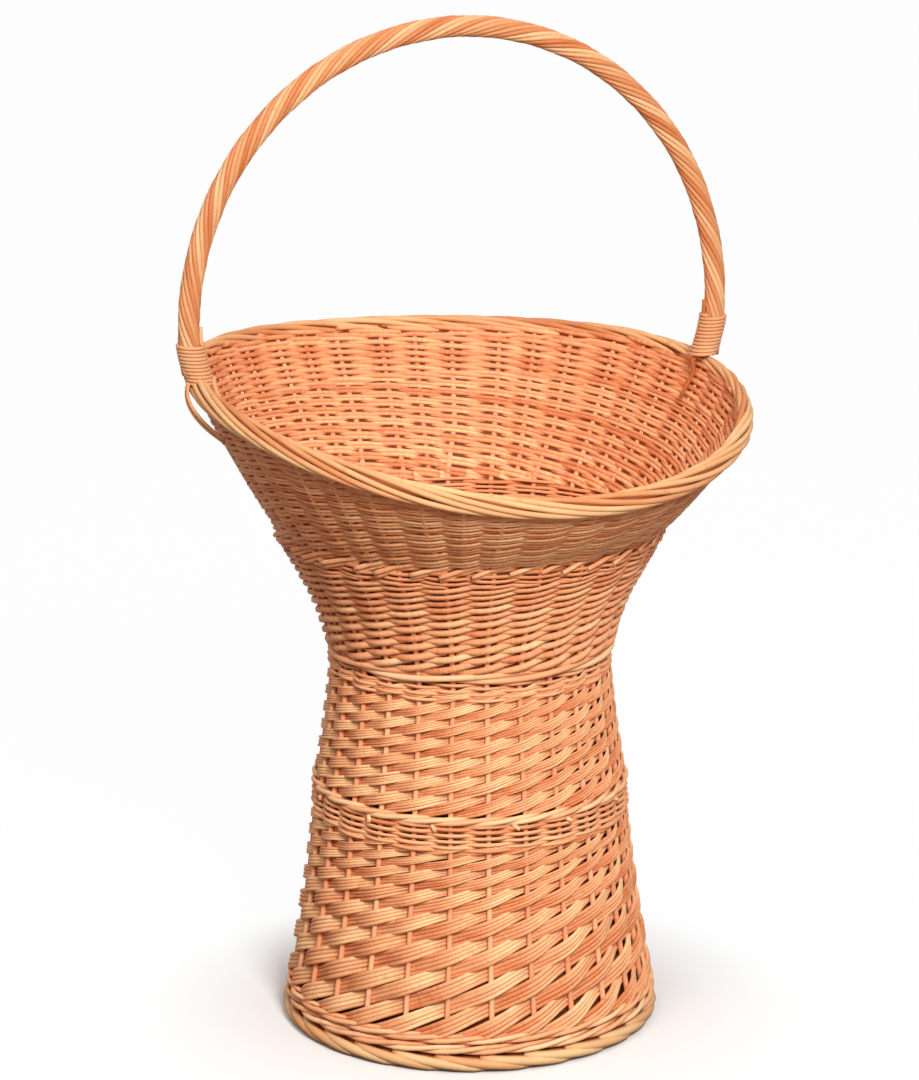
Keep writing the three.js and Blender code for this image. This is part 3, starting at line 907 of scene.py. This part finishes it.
# ---- bindings, pegs and tails at the handle's feet
# In each pair -1 is the left foot and 1 the right one
bindingSettings = {
    "turns": 11.6, "pitch": 3.55, "radius": 1.78, "steps": 26,
    "halfWidth": 12.4, "halfDepth": 12.2, "inward": 1.0, "lean": 6,
    "bottoms": {-1: -10.5, 1: -0.8},  # from the border's top
}
pegSettings = {
    "radius": 2.2, "thinning": 0.25,
    "above": 15, "offset": 11.4,  # over the binding's top, and inwards from the leg's middle
    "besideRim": 12.5, "overRim": 5,  # where it passes the border
    "drops": {-1: (-14, -11, -8, -4, 0), 1: (4, 12, 20, 28, 36)},  # below it, along the wall
    "leans": {-1: 0.2, 1: 0.02},
    "depth": 15.5, "rising": 2,
    # The right peg is drawn darker, mixed towards the shade colour
    "tones": {-1: 0.85, 1: 0}, "shades": {-1: 0, 1: 0.45},
}
tailSettings = {
    "radius": 1.6, "nesting": 4.5,
    "outside": 10.0,  # beyond the rim's middle line
    "drops": (-5, 15, 32), "turns": (2, 5, 13.5),  # of its start, its bend and its end
    "alongWall": 1.1,  # length along the wall for one of height
}


def legReach(height, s=handleSettings):
    rise = (height - s["springLevel"]) / s["rise"]
    return s["halfSpan"] * math.sqrt(max(0, 1 - rise * rise))


def bindingRod(foot, s):
    rod = Rod(0.6)
    bottom = foot["borderTop"] + s["bottoms"][foot["side"]]
    for spot in range(round(s["turns"] * s["steps"]) + 1):
        turns = spot / s["steps"]
        turn = 2 * math.pi * turns
        height = bottom + s["pitch"] * turns
        lean = s["lean"] * max(0, 1 - turns / s["turns"]) ** 1.5
        across = legReach(height) - s["inward"] - lean + s["halfWidth"] * math.cos(turn)
        depth = handleSettings["setBack"] + s["halfDepth"] * math.sin(turn)
        rod.add(Vector((foot["side"] * across, depth, height)), s["radius"])
    return [rod]


def pegRod(foot, s, bindingTop):
    side, turn, radius = foot["side"], foot["angle"], s["radius"]
    rod = Rod(s["tones"][side], paintedShade=s["shades"][side])
    top, bottom = bindingTop + s["above"], foot["borderTop"] + 2
    for step in range(9):
        height = top + (bottom - top) * step / 8
        rod.add(Vector((side * (legReach(height) - s["offset"]), handleSettings["setBack"], height)), radius)
    rod.add(polar(rimRadius(turn) - s["besideRim"] - radius, turn, rimLevel(turn) + s["overRim"]), radius)
    drops = s["drops"][side]
    for step, drop in enumerate(drops):
        share = (step + 1) / len(drops)
        angle = turn + s["leans"][side] * share
        point = onWall(upperWall, angle, upperLength(angle) - drop, s["depth"] - s["rising"] * share)
        rod.add(point, radius * (1 - s["thinning"] * share))
    return [rod]


def tailRod(number, s):
    rod = Rod(0.5)
    shift = number * s["nesting"]
    outside = rimRadius(leftFoot["angle"]) + s["outside"] + s["radius"]
    turns = [leftFoot["angle"] + math.radians(t) - shift / outside for t in s["turns"]]
    drops = [s["drops"][0], s["drops"][1] + shift, s["drops"][2] + shift]
    endLevel = upperLength(turns[2]) - (drops[2] - wallSettings["underRim"]) * s["alongWall"]
    start, bend = [polar(outside, turn, rimLevel(turn) - drop) for turn, drop in zip(turns[:2], drops)]
    end = onWall(upperWall, turns[2], endLevel, -2 * s["radius"])
    for spot in range(21):
        t = spot / 20
        rod.add(start * (1 - t) * (1 - 2 * t) + bend * 4 * t * (1 - t) + end * t * (2 * t - 1), s["radius"])
    return [rod]


for foot, word in ((leftFoot, "left"), (rightFoot, "right")):
    top = foot["borderTop"] + bindingSettings["bottoms"][foot["side"]]
    top += bindingSettings["pitch"] * bindingSettings["turns"]
    addRods(f"handleBinding_{word}", bindingRod(foot, bindingSettings), "binding",
            [f"handle_binding_{word}"], sides=10)
    addRods(f"handlePeg_{word}", pegRod(foot, pegSettings, top), "handle", [f"handle_peg_{word}"], sides=10)
for number in range(2):
    addRods(f"handleTail_{number + 1}", tailRod(number, tailSettings), "handle",
            [f"handle_tail_{number + 1}"], sides=10)
print("handle bound")


# ---- floor of the bowl: rings of thin rods over and under spokes
floorSettings = {
    "level": 391.5, "outer": 132.5, "inner": 0.5, "pitch": 4.3, "radius": 1.96, "wave": 2.9, "steps": 4,
    "spokeRadius": 2.3,
    "oddStart": 38,  # every second spoke starts here, and from the other radius on the rods pass each one
    "everySpoke": 42,
}


def bowlFloor(s):
    rods = []
    spokes = wallSettings["stakes"]
    for number in range(spokes):
        angle = (number + 0.5) * stakeStep
        start = s["oddStart"] if number % 2 else s["inner"]
        spoke = Rod(dice.uniform(0.3, 0.8))
        for step in range(7):
            spoke.add(polar(start + (s["outer"] - 1 - start) * step / 6, angle, s["level"]), s["spokeRadius"])
        rods.append(spoke)
    radius, row = s["inner"] + 4, 0
    while radius < s["outer"] - 3:
        ring = Rod(dice.uniform(0.2, 0.8), ring=True)
        every = 1 if radius > s["everySpoke"] else 2
        for spot in range(spokes // every * s["steps"]):
            place = spot / s["steps"]
            angle = (place * every + 0.5) * stakeStep
            wave = math.cos(math.pi * (place + row))
            ring.add(polar(radius, angle, s["level"] + s["wave"] * wave), s["radius"])
        rods.append(ring)
        radius += s["pitch"]
        row += 1
    return rods


addRods("bowlFloor", bowlFloor(floorSettings), "siding", ["bowl_floor"])
print("floor woven")
